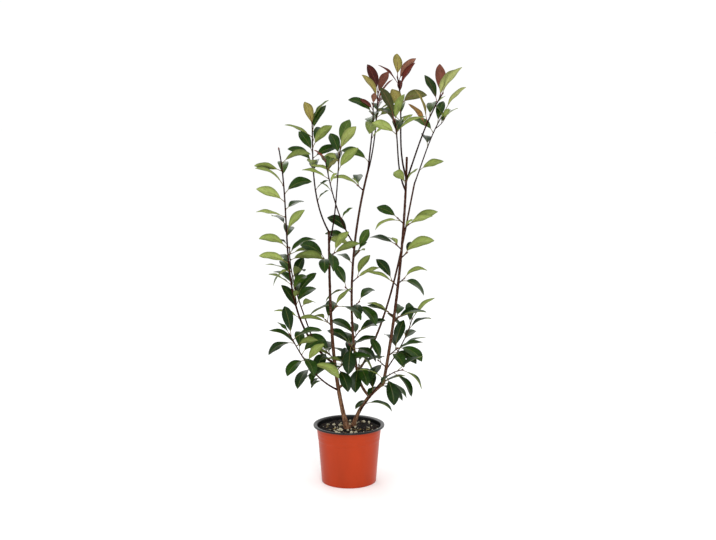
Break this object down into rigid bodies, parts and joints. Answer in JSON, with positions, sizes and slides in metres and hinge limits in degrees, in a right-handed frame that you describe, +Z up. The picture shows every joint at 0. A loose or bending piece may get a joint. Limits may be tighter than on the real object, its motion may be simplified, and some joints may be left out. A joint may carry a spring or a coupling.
{
  "type": "photinia shrub in a nursery pot",
  "caption": "Young evergreen shrub with upright leafy stems and red new tips, growing in a round two-tone nursery pot.",
  "frame": {"origin": "centre of the pot's flat underside", "axes": "+Z up; the plant's broad side faces -Y, with its tallest shoots towards +X"},
  "size_m": [0.5565, 0.4126, 1.1299],
  "materials": {
    "pot_wall": "satin terracotta-coloured plastic",
    "pot_lip": "satin black plastic",
    "compost": "rough moist bark compost with pale grit",
    "bark": "matt brown bark with fine lengthwise cracks",
    "young_bark": "smooth dark reddish brown bark",
    "leaf": "glossy dark green above, matt pale green beneath"
  },
  "bodies": {
    "root": {"pot_shell": "pot_wall", "pot_rim": "pot_lip", "potting_mix": "compost", "trunk_left": "bark", "trunk_right": "bark", "stem_middle": "bark", "stem_right_back": "bark", "bough_far_left": "young_bark", "bough_far_left_inner": "young_bark", "bough_low_left": "young_bark", "bough_left_back": "young_bark", "bough_left_front": "young_bark", "bough_middle_top_back": "young_bark", "bough_right_front": "young_bark", "bough_right_top": "young_bark", "bough_right_outer": "young_bark", "bough_low_right": "young_bark", "foliage_far_left": "leaf", "foliage_far_left_inner": "leaf", "foliage_low_left": "leaf", "foliage_left_back": "leaf", "foliage_left_front": "leaf", "foliage_middle_side": "leaf", "foliage_middle_top": "leaf", "foliage_middle_top_back": "leaf", "foliage_right_front": "leaf", "foliage_right_top": "leaf", "foliage_right_outer": "leaf", "foliage_right_back": "leaf", "foliage_low_right": "leaf", "foliage_right_upright": "leaf", "foliage_left_upper_left": "leaf", "foliage_left_upper_right": "leaf", "foliage_left_middle_left": "leaf", "foliage_left_middle_right": "leaf", "foliage_left_low_left": "leaf", "foliage_left_low_right": "leaf", "foliage_back_low": "leaf", "foliage_middle_low": "leaf", "foliage_middle_lower_left": "leaf", "foliage_middle_lower_right": "leaf", "foliage_middle_lower_back": "leaf", "foliage_middle_left": "leaf", "foliage_middle_right": "leaf", "foliage_middle_back": "leaf", "foliage_middle_upper_left": "leaf", "foliage_middle_upper_right": "leaf", "foliage_middle_high_left": "leaf", "foliage_right_foot": "leaf", "foliage_right_low_left": "leaf", "foliage_right_low_right": "leaf", "foliage_right_lower_left": "leaf", "foliage_right_lower_right": "leaf", "foliage_right_middle_left": "leaf", "foliage_right_middle_right": "leaf", "foliage_right_upper_left": "leaf", "foliage_right_upper_right": "leaf", "foliage_right_high_left": "leaf", "foliage_right_high_right": "leaf", "foliage_right_head": "leaf"}
  },
  "joints": []
}
